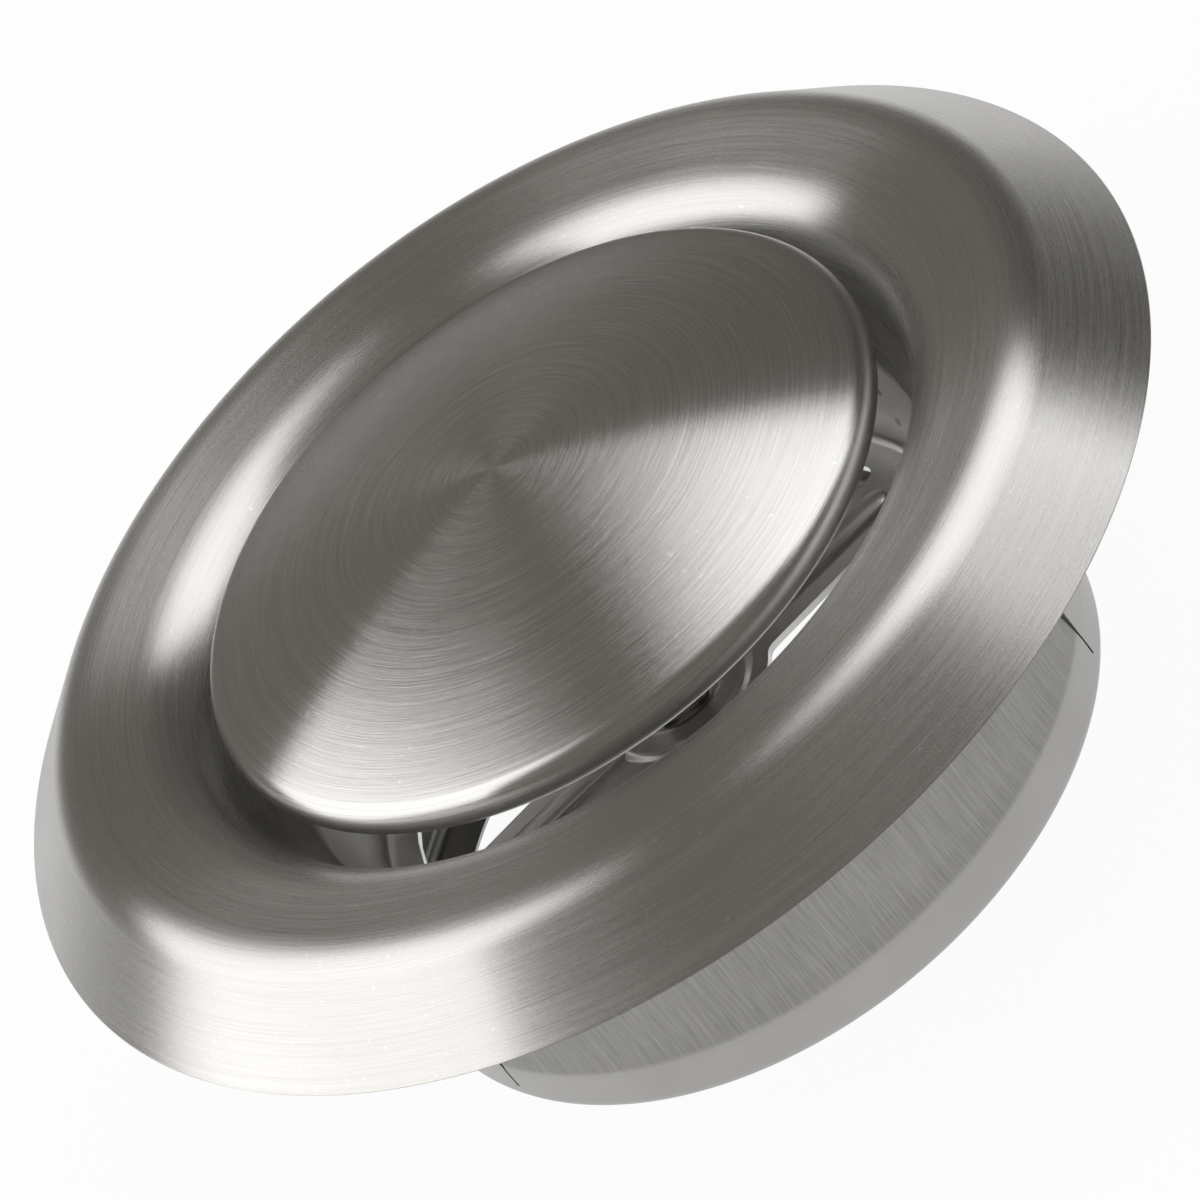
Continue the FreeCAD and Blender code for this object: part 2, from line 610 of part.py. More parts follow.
def make_disc_back():
    """Dished pan whose flat rim rests on the dome's return lip."""
    body = new_body("disc_back")
    sketch = new_sketch(body, "pan_section", "XZ_Plane")
    rim = disc_radius - disc_lip_bend - pan_clearance
    corners = [(nut_bore_radius + hole_clearance, pan_floor_height), (pan_floor_radius, pan_floor_height),
               (rim - pan_seat_width, pan_seat_height), (rim, pan_seat_height)]
    draw_bent_sheet(sketch, corners, [pan_bend, pan_bend], disc_sheet, -1)
    revolve(body, sketch, "pan")
    return body


def make_disc_front():
    """Spun dome with a rounded edge and a lip turned in under it."""
    body = new_body("disc_front")
    sketch = new_sketch(body, "dome_section", "XZ_Plane")

    def add_side(shift):
        dome = dome_radius.value - shift
        edge = disc_edge_radius.value - shift
        bend = disc_lip_bend.value - shift
        dome_centre = Vector(0, dome_apex_height.value - dome_radius.value, 0)
        edge_centre = Vector(edge_centre_radius.value, edge_centre_height.value, 0)
        lip_centre = Vector(disc_radius.value - disc_lip_bend.value, disc_lip_height.value + disc_lip_bend.value, 0)
        out = unit(edge_centre - dome_centre)
        apex = dome_centre + Vector(0, dome, 0)
        shoulder = edge_centre + out * edge
        wall_top = edge_centre + Vector(edge, 0, 0)
        wall_foot = lip_centre + Vector(bend, 0, 0)
        lip_start = lip_centre + Vector(0, -bend, 0)
        lip_end = Vector(disc_lip_radius.value, lip_start.y, 0)
        return add_chain(sketch, [("arc", apex, shoulder, dome_centre, False),
                                  ("arc", shoulder, wall_top, edge_centre, False),
                                  ("line", wall_top, wall_foot, None, True),
                                  ("arc", wall_foot, lip_start, lip_centre, False),
                                  ("line", lip_start, lip_end, None, True)])

    outer = add_side(0.0)
    inner = add_side(disc_sheet.value)
    for index, radius in zip((0, 1, 3), (dome_radius, disc_edge_radius, disc_lip_bend)):
        bind(sketch, Sketcher.Constraint("Radius", outer[index][0], radius.value), radius)
        sketch.addConstraint(Sketcher.Constraint("Coincident", outer[index][0], 3, inner[index][0], 3))
    inner_dome = dome_radius - disc_sheet
    bind(sketch, Sketcher.Constraint("Radius", inner[0][0], inner_dome.value), inner_dome)
    sketch.addConstraint(Sketcher.Constraint("PointOnObject", outer[0][0], 3, -2))
    pin_point(sketch, outer[0][0], outer[0][1], (0.0, dome_apex_height))
    sketch.addConstraint(Sketcher.Constraint("PointOnObject", inner[0][0], inner[0][1], -2))
    for side in (outer, inner):
        sketch.addConstraint(Sketcher.Constraint("Vertical", side[2][0]))
        sketch.addConstraint(Sketcher.Constraint("Horizontal", side[4][0]))
    wall = outer[2]
    bind(sketch, Sketcher.Constraint("DistanceX", -1, 1, wall[0], wall[1], disc_radius.value), disc_radius)
    pin_point(sketch, outer[4][0], outer[4][2], (disc_lip_radius, disc_lip_height))
    for first, second in ((outer[0], inner[0]), (outer[4], inner[4])):
        vertex = 1 if first is outer[0] else 2
        start = sketch.getPoint(first[0], first[vertex])
        end = sketch.getPoint(second[0], second[vertex])
        line = sketch.addGeometry(Part.LineSegment(start, end), False)
        sketch.addConstraint(Sketcher.Constraint("Coincident", line, 1, first[0], first[vertex]))
        sketch.addConstraint(Sketcher.Constraint("Coincident", line, 2, second[0], second[vertex]))
        if first is outer[4]:
            sketch.addConstraint(Sketcher.Constraint("Vertical", line))
    revolve(body, sketch, "spun_dome")
    return body


parts = [
    make_valve_ring(),
    make_foam_gasket(),
    make_duct_sleeve(),
    make_crossbar_cup(),
    make_hex_nut("hub_nut", -hub_depth + boss_height + nut_height, nut_turn),
    make_lock_washer(),
    make_hex_nut("lock_nut", -hub_underside_depth - face_gap - washer_height),
    make_stem(),
    make_hex_nut("disc_nut", pan_floor_height - disc_sheet),
    make_disc_back(),
    make_disc_front(),
]

doc.recompute()
failed = [item.Name for item in doc.Objects if "Invalid" in item.State or "Error" in item.State]
if failed:
    raise RuntimeError("failed features: " + ", ".join(failed))
for part in parts:
    shape = part.Shape
    if shape.isNull() or not shape.isValid() or len(shape.Solids) != 1:
        raise RuntimeError("bad shape: " + part.Label)

for part in parts:
    box = part.Shape.BoundBox
    print("%-12s volume %9.1f  x %.1f..%.1f  y %.1f..%.1f  z %.2f..%.2f" % (
        part.Label, part.Shape.Volume, box.XMin, box.XMax, box.YMin, box.YMax, box.ZMin, box.ZMax))
    part.Shape.exportStep("parts/%s.step" % part.Label)
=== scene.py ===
import math
import bpy
from mathutils import Matrix, Vector


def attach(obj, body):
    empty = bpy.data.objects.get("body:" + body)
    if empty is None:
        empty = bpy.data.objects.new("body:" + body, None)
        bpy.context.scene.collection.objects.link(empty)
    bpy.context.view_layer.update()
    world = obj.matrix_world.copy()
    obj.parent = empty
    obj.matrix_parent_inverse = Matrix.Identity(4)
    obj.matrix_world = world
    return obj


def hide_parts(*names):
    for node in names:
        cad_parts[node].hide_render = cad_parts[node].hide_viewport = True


# Round disc valve in brushed stainless steel: the CAD frame dressed for its picture.
# +Z points out of the ceiling into the room and +X runs along the crossbar.
# Sizes are in millimetres, and MM turns them into the scene's metres.

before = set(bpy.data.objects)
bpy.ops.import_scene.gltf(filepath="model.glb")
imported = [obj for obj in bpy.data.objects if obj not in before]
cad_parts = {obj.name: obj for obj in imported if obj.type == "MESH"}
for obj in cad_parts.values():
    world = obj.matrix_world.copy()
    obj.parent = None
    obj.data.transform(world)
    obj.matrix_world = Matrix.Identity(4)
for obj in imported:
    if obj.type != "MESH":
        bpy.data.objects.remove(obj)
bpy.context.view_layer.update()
MM = 0.001

# The camera, at the photograph's viewing angle
VIEW_AZIMUTH = -98.0
VIEW_ELEVATION = 35.06
VIEW_ROLL = 39.34
VIEW_DISTANCE = 1000.0
VIEW_TARGET = (-1.57, -10.85, 0.0)
FOCAL_PIXELS = 6682.65
PICTURE_PIXELS = 1200
SENSOR_WIDTH = 36.0
CAMERA_REACH = 100.0

# Ring
RIM_RADIUS = 98.5
CREST_CORNER = (84.0, 14.3)
CREST_FILLET = 9.0
MOUTH_CORNER = (64.0, 11.37)
BELL_FILLET = 12.5
NECK_RADIUS = 55.8
NECK_TOP = -10.0
NECK_END = -13.0
NECK_BEND = 2.0
RING_SHEET = 0.8
RING_EDGE = 0.12

# Sleeve
SLEEVE_RADIUS = 62.0
SLEEVE_SHEET = 0.6
SLEEVE_SET_IN = 0.55
SLEEVE_END = -54.4
SLEEVE_FLARE = 1.9
END_BEND = 2.4
END_FLANGE_RADIUS = 53.0
BAND_TOP = -46.2
BAND_JOG = 5.0
LINES_END = -45.3
TONGUE_TOP = -15.5
TONGUE_JOG = 2.0
TONGUE_SET_IN = 0.05
TONGUE_ANGLE = 56.5
SLIT_WIDTH = 0.5
SLIT_END = -50.0
SLEEVE_TURN = -11.75
TONGUE_STEPS = 48
WALL_STEPS = 88

# Cup and crossbar
BAR_SHEET = 1.2
FLOOR_TOP = -30.8
CUP_TOP = -10.6
CUP_COLLAR_END = -13.2
CUP_COLLAR_BEND = 3.0
CUP_FOOT_RADIUS = 52.9
CUP_BEND = 2.0
WINDOW_RADIUS = 47.6
HUB_RADIUS = 16.0
HUB_CORNER = 2.5
ARM_ROOT_HALF = 7.2
ARM_END_HALF = 6.1
ARM_END_REACH = 42.0
WINDOW_CORNER = 2.0
BOSS_TOP_RADIUS = 12.2
BOSS_FOOT_RADIUS = 13.3
BOSS_HEIGHT = 1.0
BOSS_FOOT_BEND = 0.6
BOSS_TOP_BEND = 1.8
RIB_REACH = 45.0
RIB_HALF = 2.3
RIB_WALL = 1.0
RIB_ROOT = 0.4
RIB_DROP = 0.02
RIB_EDGE = 0.5
SEAT_GROOVE_RADIUS = 8.2
SEAT_GROOVE_HALF = 0.5
SEAT_GROOVE_DEPTH = 0.6

# Spot welds in the cup's wall: degrees from the crossbar's end, and height; the shade of their dimples is
# painted as dark spots
SPOT_WELDS = ((5.9, -20.0), (3.6, -25.0))
SPOT_RADIUS = 1.0

# Disc
DISC_RADIUS = 58.1
DOME_APEX = 23.3
DOME_RADIUS = 168.0
DISC_EDGE = 3.5
LIP_HEIGHT = 8.0
LIP_BEND = 1.8
LIP_RADIUS = 53.4
DISC_SHEET = 0.8
PAN_FLOOR = 3.0
PAN_FLOOR_RADIUS = 12.0
PAN_BEND = 3.0
PAN_RIM = 56.1
PAN_SEAT = 3.2
PAN_EDGE = 0.12
DISC_CUT_EDGE = 0.06

# Screw, nuts and washer
STEM_RADIUS = 3.95
STEM_CORE = 3.35
STEM_END = -50.0
STEM_CHAMFER = 0.8
STEM_SPARE = 0.05
THREAD_PITCH = 1.25
HEAD_RADIUS = 9.0
HEAD_HEIGHT = 2.0
HEAD_EDGE = 0.2
NUT_BORE = 4.0
NUT_FLATS = 13.0
NUT_HEIGHT = 6.5
NUT_TURN = -15.7
HEX_TURN = 30.0
NUT_FACE_INSET = 0.1
NUT_CHAMFER_ANGLE = 30.0
NUT_SPARE = 0.2
NUT_SINK = 0.7
NUT_SINK_SPARE = 0.6
NUT_EDGE = 0.08
HOLE_RADIUS = 4.35
WASHER_RADIUS = 8.0
WASHER_HEIGHT = 1.6
WASHER_TOP = -31.05
WASHER_EDGE = 0.2

# Gasket
GASKET_INNER = 92.0
GASKET_OUTER = 96.6
GASKET_GAP = 0.05
GASKET_EDGE = 0.3

# Fineness of the round pieces, and the short stretch that holds a straight run flat
ROUND_STEPS = 240
SMALL_STEPS = 64
DOME_STEPS = 26
THREAD_STEPS = 24
ARC_STEP = 7.0
FLAT_HOLD = 0.25

# Points nearer to each other than this are welded, and shorter runs aren't drawn
WELD_GAP = 0.002
OUTLINE_WELD_GAP = 0.01
THREAD_WELD_GAP = 0.0005
THREAD_MERGE_GAP = 0.001
SHORTEST_RUN = 0.0001

# How far a cutter reaches past what it cuts
CUT_SPARE = 1.0

# Edges flatter than this, in degrees, are shaded smooth
SMOOTH_ANGLE = 35.0
SHEET_SMOOTH_ANGLE = 30.0
SCREW_SMOOTH_ANGLE = 25.0

# Directions to turn about, and the middle of the frame
MIDDLE = (0, 0, 0)
UPWARDS = (0, 0, 1)
SIDEWAYS = (0, 1, 0)


# Drawing a section and turning it

def deselect():
    if bpy.context.object and bpy.context.object.mode == "EDIT":
        bpy.ops.object.mode_set(mode="OBJECT")
    bpy.ops.object.select_all(action="DESELECT")


def place(x, z):
    """A point of a section in the plane y = 0, in metres."""
    return Vector((x, 0.0, z)) * MM


def start_line(name, point):
    """Begin a new piece with a single vertex and stay in edit mode."""
    deselect()
    bpy.ops.mesh.primitive_plane_add(size=MM)
    piece = bpy.context.object
    piece.name = name
    piece.data.name = name
    bpy.ops.object.mode_set(mode="EDIT")
    bpy.ops.mesh.select_mode(type="VERT")
    bpy.ops.mesh.select_all(action="SELECT")
    bpy.ops.mesh.merge(type="CENTER")
    bpy.ops.transform.translate(value=point)
    return piece


def extrude(step):
    bpy.ops.mesh.extrude_region_move(TRANSFORM_OT_translate={"value": step})


def line_to(here, there):
    """Draw a straight run, held flat by a short stretch at both its ends."""
    run = there - here
    hold = FLAT_HOLD * MM
    if run.length > 4 * hold:
        along = run.normalized()
        extrude(along * hold)
        extrude(run - along * 2 * hold)
        extrude(along * hold)
    elif run.length > SHORTEST_RUN * MM:
        extrude(run)


def arc_about(centre, angle, axis=SIDEWAYS, steps=None):
    """Carry the line on round a centre: from +X to +Z, or clockwise seen from above, if positive."""
    steps = steps or max(2, math.ceil(abs(math.degrees(angle)) / ARC_STEP))
    bpy.ops.mesh.spin(steps=steps, angle=angle, center=centre, axis=axis)


def bent_line(points, bends):
    """Draw from the first point to the last, rounding each corner between by its bend."""
    here = points[0]
    for index, bend in enumerate(bends, start=1):
        corner = points[index]
        inward = (points[index - 1] - corner).normalized()
        outward = (points[index + 1] - corner).normalized()
        half = inward.angle(outward) / 2
        reach = bend * MM / math.tan(half)
        centre = corner + (inward + outward).normalized() * (bend * MM / math.sin(half))
        line_to(here, corner + inward * reach)
        turn = math.pi - 2 * half
        arc_about(centre, turn if inward.cross(outward).y > 0 else -turn)
        here = corner + outward * reach
    line_to(here, points[-1])


def beside(points, distance):
    """The line that runs at a distance to the left of the given one."""
    sides = []
    for start, end in zip(points, points[1:]):
        along = (end - start).normalized()
        sides.append(Vector((-along.z, 0.0, along.x)))
    moved = [points[0] + sides[0] * distance]
    for before, after, corner in zip(sides, sides[1:], points[1:]):
        middle = (before + after).normalized()
        moved.append(corner + middle * (distance / middle.dot(before)))
    moved.append(points[-1] + sides[-1] * distance)
    return moved


def draw_sheet(name, corners, bends, sheet, flat_start=False):
    """The closed section of a bent sheet that lies to the left of its face, or to the right if negative."""
    face = [place(x, z) for x, z in corners]
    back = beside(face, sheet * MM)
    if flat_start:
        along = (back[1] - back[0]).normalized()
        back[0] = back[0] + along * ((face[0].z - back[0].z) / along.z)
    back_bends = []
    for index, bend in enumerate(bends, start=1):
        turn = (face[index] - face[index - 1]).cross(face[index + 1] - face[index]).y
        back_bends.append(bend - sheet if turn < 0 else bend + sheet)
    piece = start_line(name, face[0])
    bent_line(face, bends)
    extrude(back[-1] - face[-1])
    bent_line(back[::-1], back_bends[::-1])
    extrude(face[0] - back[0])
    return piece


def draw_outline(name, corners):
    """A closed section with straight sides."""
    points = [place(x, z) for x, z in corners]
    piece = start_line(name, points[0])
    for here, there in zip(points, points[1:] + points[:1]):
        line_to(here, there)
    return piece


def weld(gap):
    """Merge the points of the whole piece that lie within a gap."""
    bpy.ops.mesh.select_all(action="SELECT")
    bpy.ops.mesh.remove_doubles(threshold=gap * MM)


def mend(gap=WELD_GAP):
    """Weld what meets, and point all faces outwards."""
    weld(gap)
    bpy.ops.mesh.normals_make_consistent(inside=False)
    bpy.ops.object.mode_set(mode="OBJECT")


def spin_section(steps=ROUND_STEPS):
    """Turn the drawn section right round the axis."""
    bpy.ops.mesh.select_all(action="SELECT")
    arc_about(MIDDLE, 2 * math.pi, UPWARDS, steps)
    mend()


def apply_modifier(piece, kind, **settings):
    modifier = piece.modifiers.new(kind.title(), kind)
    for name, value in settings.items():
        setattr(modifier, name, value)
    bpy.context.view_layer.objects.active = piece
    bpy.ops.object.modifier_apply(modifier=modifier.name)


def soften_edges(piece, width, angle=50.0):
    apply_modifier(piece, "BEVEL", width=width * MM, segments=2, limit_method="ANGLE",
                   angle_limit=math.radians(angle), use_clamp_overlap=True)


def boolean(piece, cutter, operation="DIFFERENCE"):
    apply_modifier(piece, "BOOLEAN", operation=operation, object=cutter, solver="EXACT")
    bpy.data.objects.remove(cutter)


def finish_piece(piece, material, body, nodes, angle=SMOOTH_ANGLE):
    """Smooth a piece, give it its material, and put it in the place of its CAD nodes."""
    deselect()
    piece.select_set(True)
    bpy.context.view_layer.objects.active = piece
    bpy.ops.object.shade_smooth_by_angle(angle=math.radians(angle))
    piece.data.materials.clear()
    piece.data.materials.append(material)
    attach(piece, body)
    if nodes:
        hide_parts(*nodes)


# Finishes

STEEL = (0.56, 0.55, 0.535)
FOAM = (0.05, 0.05, 0.052)
GRAIN_HEIGHT = 0.02
CELL_HEIGHT = 0.1

# Noise keeps mostly between these two values
NOISE_LOW = 0.3
NOISE_HIGH = 0.7

# Brushed steel: the share of its fine grooves against its wide bands, the bands' fineness, and bright specks
GROOVE_SHARE = 0.7
WIDE_BAND_LINES = 0.3
WIDE_BAND_STREAKS = 1.3
SPECK_SCALE = 900.0
SPECK_RANGE = (0.73, 0.77)
SPECK_LIGHT = 0.15

# Plain sheet: the share of its blotches against its grain, and the brightness left in the painted shade of a
# weld's dimple
BLOTCH_SHARE = 0.6
PAINTED_WELD_SHADE = 0.45

# Sleeve: how far below the band its lined wall begins, and its upright lines to the metre
SET_IN_RANGE = (0.2, 0.08)
LINES_FADE = 0.3
LINE_SCALE = 260.0
LINE_SCALE_UP = 110.0
PANEL_SHADE = -0.12
PANEL_ROUGHNESS = 0.1


def set_range(node, low, high, new_low, new_high):
    """Give a Map Range node the range it reads and the range it answers in."""
    for name, number in (("From Min", low), ("From Max", high), ("To Min", new_low), ("To Max", new_high)):
        node.inputs[name].default_value = number


class Finish:
    """Builds one material node by node."""

    def __init__(self, name):
        self.material = bpy.data.materials.new(name)
        self.material.use_nodes = True
        self.nodes = self.material.node_tree.nodes
        self.links = self.material.node_tree.links
        self.shader = self.nodes["Principled BSDF"]

    def node(self, kind, **settings):
        made = self.nodes.new(kind)
        for name, value in settings.items():
            setattr(made, name, value)
        return made

    def link(self, source, target):
        self.links.new(source, target)

    def feed(self, socket, value):
        if isinstance(value, (int, float, tuple)):
            socket.default_value = value
        else:
            self.link(value, socket)

    def math(self, operation, first, second):
        made = self.node("ShaderNodeMath", operation=operation)
        self.feed(made.inputs[0], first)
        self.feed(made.inputs[1], second)
        return made.outputs[0]

    def add(self, first, second):
        return self.math("ADD", first, second)

    def times(self, first, second):
        return self.math("MULTIPLY", first, second)

    def mix(self, first, second, share):
        """A share of the first value and the rest of the second."""
        return self.add(self.times(first, share), self.times(second, 1 - share))

    def spread(self, value, low, high, new_low, new_high):
        made = self.node("ShaderNodeMapRange")
        self.feed(made.inputs["Value"], value)
        set_range(made, low, high, new_low, new_high)
        return made.outputs["Result"]

    def vary(self, noise, low, high):
        """Let a noise carry a value from low to high."""
        return self.spread(noise, NOISE_LOW, NOISE_HIGH, low, high)

    def combine(self, x, y, z):
        made = self.node("ShaderNodeCombineXYZ")
        for socket, value in zip(made.inputs, (x, y, z)):
            self.feed(socket, value)
        return made.outputs[0]

    def stretched(self, parts, scales):
        """A place whose three parts are scaled one by one."""
        return self.combine(*(self.times(part, scale) for part, scale in zip(parts, scales)))

    def object_place(self):
        return self.node("ShaderNodeTexCoord").outputs["Object"]

    def round_place(self):
        """Distance from the axis, height, and the direction's two parts."""
        parts = self.node("ShaderNodeSeparateXYZ")
        self.link(self.object_place(), parts.inputs[0])
        flat = self.combine(parts.outputs[0], parts.outputs[1], 0.0)
        length = self.node("ShaderNodeVectorMath", operation="LENGTH")
        self.link(flat, length.inputs[0])
        aim = self.node("ShaderNodeVectorMath", operation="NORMALIZE")
        self.link(flat, aim.inputs[0])
        aim_parts = self.node("ShaderNodeSeparateXYZ")
        self.link(aim.outputs[0], aim_parts.inputs[0])
        return length.outputs["Value"], parts.outputs[2], aim_parts.outputs[0], aim_parts.outputs[1]

    def noise(self, vector, scale, detail=2.0, w=None, roughness=0.5):
        made = self.node("ShaderNodeTexNoise", noise_dimensions="4D" if w is not None else "3D")
        self.link(vector, made.inputs["Vector"])
        if w is not None:
            self.feed(made.inputs["W"], w)
        made.inputs["Scale"].default_value = scale
        made.inputs["Detail"].default_value = detail
        made.inputs["Roughness"].default_value = roughness
        return made.outputs["Fac"]

    def grey(self, value, tint):
        """A tinted colour whose brightness follows a value."""
        made = self.node("ShaderNodeVectorMath", operation="SCALE")
        made.inputs[0].default_value = tint
        self.feed(made.inputs["Scale"], value)
        return made.outputs[0]

    def bump(self, height, strength, distance):
        made = self.node("ShaderNodeBump")
        made.inputs["Strength"].default_value = strength
        made.inputs["Distance"].default_value = distance * MM
        self.link(height, made.inputs["Height"])
        self.link(made.outputs[0], self.shader.inputs["Normal"])

    def along_circles(self, anisotropy):
        """Grooves round the axis stretch reflections across them, a quarter turn from the tangent."""
        tangent = self.node("ShaderNodeTangent", direction_type="RADIAL", axis="Z")
        self.link(tangent.outputs[0], self.shader.inputs["Tangent"])
        self.shader.inputs["Anisotropic"].default_value = anisotropy
        self.shader.inputs["Anisotropic Rotation"].default_value = 0.25


def brushed_steel(name, roughness, anisotropy, lines, depth, contrast, streaks=4.0):
    """Steel brushed on a lathe: fine rings, broken along their length, over faint blotches."""
    finish = Finish(name)
    radius, height, east, north = finish.round_place()
    fine = finish.stretched((radius, height, east), (lines, lines, streaks))
    grooves = finish.noise(fine, scale=1.0, detail=3.0, w=finish.times(north, streaks), roughness=0.65)
    band_lines = lines * WIDE_BAND_LINES
    wide = finish.stretched((radius, height, east), (band_lines, band_lines, WIDE_BAND_STREAKS))
    bands = finish.noise(wide, scale=1.0, detail=2.0, w=finish.times(north, WIDE_BAND_STREAKS))
    mixed = finish.mix(grooves, bands, GROOVE_SHARE)
    dots = finish.noise(finish.object_place(), SPECK_SCALE, detail=1.0)
    specks = finish.spread(dots, *SPECK_RANGE, 0.0, SPECK_LIGHT)
    shade = finish.add(finish.vary(mixed, 1 - contrast, 1 + contrast), specks)
    finish.link(finish.grey(shade, STEEL), finish.shader.inputs["Base Color"])
    blotches = finish.noise(finish.object_place(), scale=28.0, detail=3.0)
    grain_rough = finish.vary(mixed, roughness * 0.85, roughness * 1.12)
    rough = finish.add(grain_rough, finish.vary(blotches, -0.02, 0.02))
    finish.link(rough, finish.shader.inputs["Roughness"])
    finish.bump(grooves, depth, GRAIN_HEIGHT)
    finish.shader.inputs["Metallic"].default_value = 1.0
    finish.along_circles(anisotropy)
    return finish.material


def weld_places():
    """Middles of the spot welds in the cup's wall, two over each end of the crossbar."""
    lean = (NECK_RADIUS + RING_SHEET - CUP_FOOT_RADIUS) / (CUP_COLLAR_END - FLOOR_TOP)
    places = []
    for end in (0.0, 180.0):
        for turn, height in SPOT_WELDS:
            wall = CUP_FOOT_RADIUS + (height - FLOOR_TOP) * lean
            angle = math.radians(end + turn)
            places.append(Vector((wall * math.cos(angle), wall * math.sin(angle), height)) * MM)
    return places


def plain_steel(name, roughness, contrast, brightness=1.0, welds=()):
    """Rolled sheet or plated steel with faint blotches and grain, and painted shade of the dimples at its
    spot welds.
    """
    finish = Finish(name)
    blotches = finish.noise(finish.object_place(), scale=90.0, detail=4.0)
    grain = finish.noise(finish.object_place(), scale=1400.0, detail=2.0)
    mixed = finish.mix(blotches, grain, BLOTCH_SHARE)
    shade = finish.vary(mixed, brightness * (1 - contrast), brightness * (1 + contrast))
    # Painted shade: each weld's dimple is a dark spot in the colour, not a hollow in the shape
    for weld_place in welds:
        away = finish.node("ShaderNodeVectorMath", operation="DISTANCE")
        finish.link(finish.object_place(), away.inputs[0])
        away.inputs[1].default_value = weld_place
        spot = finish.spread(away.outputs["Value"], SPOT_RADIUS / 2 * MM, SPOT_RADIUS * MM, PAINTED_WELD_SHADE, 1.0)
        shade = finish.times(shade, spot)
    finish.link(finish.grey(shade, STEEL), finish.shader.inputs["Base Color"])
    rough = finish.vary(blotches, roughness * 0.85, roughness * 1.15)
    finish.link(rough, finish.shader.inputs["Roughness"])
    finish.bump(grain, 0.15, GRAIN_HEIGHT)
    finish.shader.inputs["Metallic"].default_value = 1.0
    return finish.material


def sleeve_steel(name):
    """Satin sheet whose set-in wall carries fine lines along the axis."""
    finish = Finish(name)
    radius, height, east, north = finish.round_place()
    upright = finish.stretched((east, north, height), (LINE_SCALE, LINE_SCALE, LINE_SCALE_UP))
    lines = finish.noise(upright, scale=1.0, detail=3.0, roughness=0.6)
    blotches = finish.noise(finish.object_place(), scale=60.0, detail=3.0)
    wall_start, wall_end = ((SLEEVE_RADIUS - inset) * MM for inset in SET_IN_RANGE)
    set_in = finish.spread(radius, wall_start, wall_end, 1.0, 0.0)
    fade_start, fade_end = ((LINES_END + way * LINES_FADE) * MM for way in (-1, 1))
    above_band = finish.spread(height, fade_start, fade_end, 0.0, 1.0)
    panel = finish.times(set_in, above_band)
    lined = finish.add(finish.spread(lines, 0.25, 0.75, -0.16, 0.10), PANEL_SHADE)
    shade = finish.add(finish.vary(blotches, 0.66, 0.74), finish.times(lined, panel))
    finish.link(finish.grey(shade, STEEL), finish.shader.inputs["Base Color"])
    rough = finish.add(finish.vary(blotches, 0.33, 0.39), finish.times(panel, PANEL_ROUGHNESS))
    finish.link(rough, finish.shader.inputs["Roughness"])
    finish.bump(lines, 0.12, GRAIN_HEIGHT)
    finish.shader.inputs["Metallic"].default_value = 1.0
    return finish.material


def closed_cell_foam():
    """Black foam with small cells, darker in their walls."""
    finish = Finish("gasket_foam")
    cells = finish.node("ShaderNodeTexVoronoi")
    cells.inputs["Scale"].default_value = 1600.0
    finish.link(finish.object_place(), cells.inputs["Vector"])
    cell = cells.outputs["Distance"]
    shade = finish.spread(cell, 0.0, 0.7, 1.3, 0.7)
    finish.link(finish.grey(shade, FOAM), finish.shader.inputs["Base Color"])
    finish.bump(cell, 0.6, CELL_HEIGHT)
    finish.shader.inputs["Roughness"].default_value = 0.92
    return finish.material


# Pieces

def make_valve_ring(steel):
    """Sloped wall, round crest, bell mouth and neck, spun from one sheet."""
    face = [(RIM_RADIUS, 0.0), CREST_CORNER, MOUTH_CORNER, (NECK_RADIUS, NECK_TOP), (NECK_RADIUS, NECK_END)]
    bends = [CREST_FILLET, BELL_FILLET, NECK_BEND]
    ring = draw_sheet("spun_ring", face, bends, RING_SHEET, flat_start=True)
    spin_section()
    soften_edges(ring, RING_EDGE)
    finish_piece(ring, steel, "valve_body", ["valve_ring"])


def make_gasket(foam):
    """The soft ring under the rim, its top cut to the wall's slope."""
    slope = CREST_CORNER[1] / (RIM_RADIUS - CREST_CORNER[0])
    drop = RING_SHEET * math.hypot(slope, 1.0) + GASKET_GAP
    inner_top = (RIM_RADIUS - GASKET_INNER) * slope - drop
    outer_top = (RIM_RADIUS - GASKET_OUTER) * slope - drop
    gasket = draw_outline("foam_seal", [(GASKET_INNER, 0.0), (GASKET_OUTER, 0.0), (GASKET_OUTER, outer_top),
                                        (GASKET_INNER, inner_top)])
    spin_section()
    soften_edges(gasket, GASKET_EDGE)
    finish_piece(gasket, foam, "valve_body", ["foam_gasket"])


def select_where(piece, mode, wanted):
    """Select the faces or the points that a test picks by their place, in edit mode."""
    bpy.ops.object.mode_set(mode="OBJECT")
    for face in piece.data.polygons:
        face.select = mode == "FACE" and wanted(face.center / MM)
    for edge in piece.data.edges:
        edge.select = False
    for vertex in piece.data.vertices:
        vertex.select = mode == "VERT" and wanted(vertex.co / MM)
    bpy.ops.object.mode_set(mode="EDIT")
    bpy.ops.mesh.select_mode(type=mode)


def scale_across(factor):
    """Draw what is selected in or out about the axis."""
    bpy.ops.transform.resize(value=(factor, factor, 1.0), center_override=MIDDLE)


def turn_by(angle):
    """Turn what is selected about the axis, counter-clockwise seen from above."""
    bpy.ops.transform.rotate(value=-angle, orient_axis="Z", center_override=MIDDLE)


